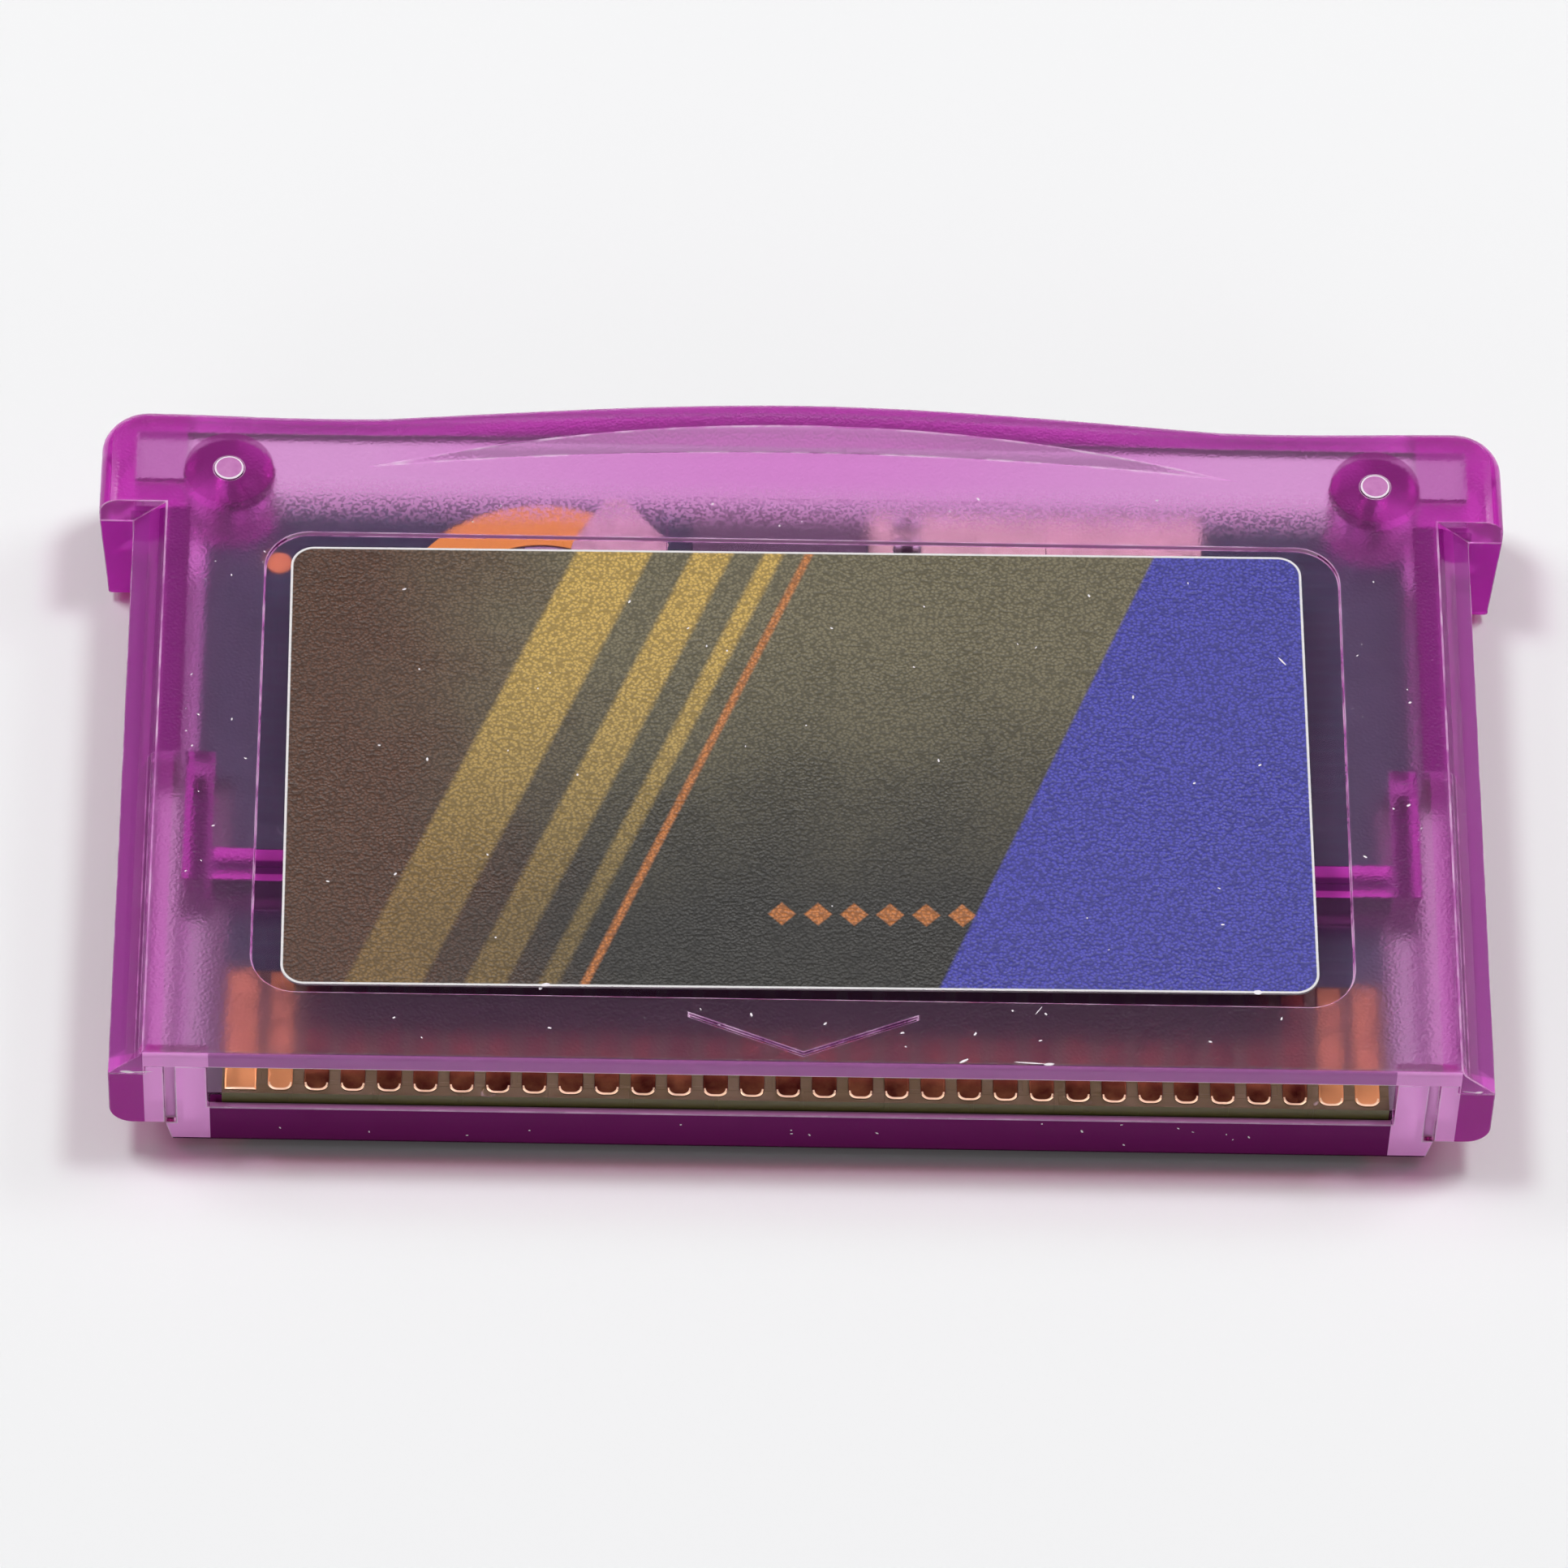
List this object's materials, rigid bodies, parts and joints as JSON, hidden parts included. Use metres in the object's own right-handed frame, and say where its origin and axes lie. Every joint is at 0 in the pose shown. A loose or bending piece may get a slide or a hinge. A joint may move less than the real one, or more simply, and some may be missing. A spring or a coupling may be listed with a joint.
{
  "type": "game cartridge",
  "caption": "Flat translucent plastic game cartridge with ears, a label recess, a raised crescent grip and gold edge contacts on a circuit board in an open connector end.",
  "frame": {"origin": "centre of the bounding box in plan, at the back face that the cartridge lies on", "axes": "+X across the cartridge to the right as the label is read, +Y from the connector end to the eared top edge, +Z out of the label face"},
  "size_m": [0.0602, 0.0344, 0.0069],
  "materials": {
    "shell_front": "translucent purple, lightly frosted",
    "shell_rear": "translucent purple, lightly frosted",
    "screw_steel": "zinc plated",
    "label_paper": "satin printed sticker",
    "board_resin": "green solder mask on glass resin",
    "gold_plating": "gold plated",
    "chip_resin": "moulded epoxy",
    "tinned_lead": "tinned",
    "capacitor_ceramic": "fired",
    "resistor_ceramic": "glazed black",
    "cell_steel": "drawn",
    "cell_film": "shrink film",
    "nickel": "nickel strip"
  },
  "bodies": {
    "root": {"front_shell": "shell_front", "rear_shell": "shell_rear", "case_screw": "screw_steel", "label": "label_paper", "circuit_board": "board_resin", "edge_contacts": "gold_plating", "ground_plane": "gold_plating", "test_pads": "gold_plating", "rom_chip": "chip_resin", "rom_leads": "tinned_lead", "memory_chip": "chip_resin", "memory_leads": "tinned_lead", "monitor_chip": "chip_resin", "monitor_leads": "tinned_lead", "capacitors": "capacitor_ceramic", "capacitor_ends": "tinned_lead", "resistors": "resistor_ceramic", "resistor_ends": "tinned_lead", "diode": "chip_resin", "diode_leads": "tinned_lead", "coin_cell": "cell_steel", "cell_wrap": "cell_film", "upper_tab": "nickel", "under_tab": "nickel"}
  },
  "joints": []
}
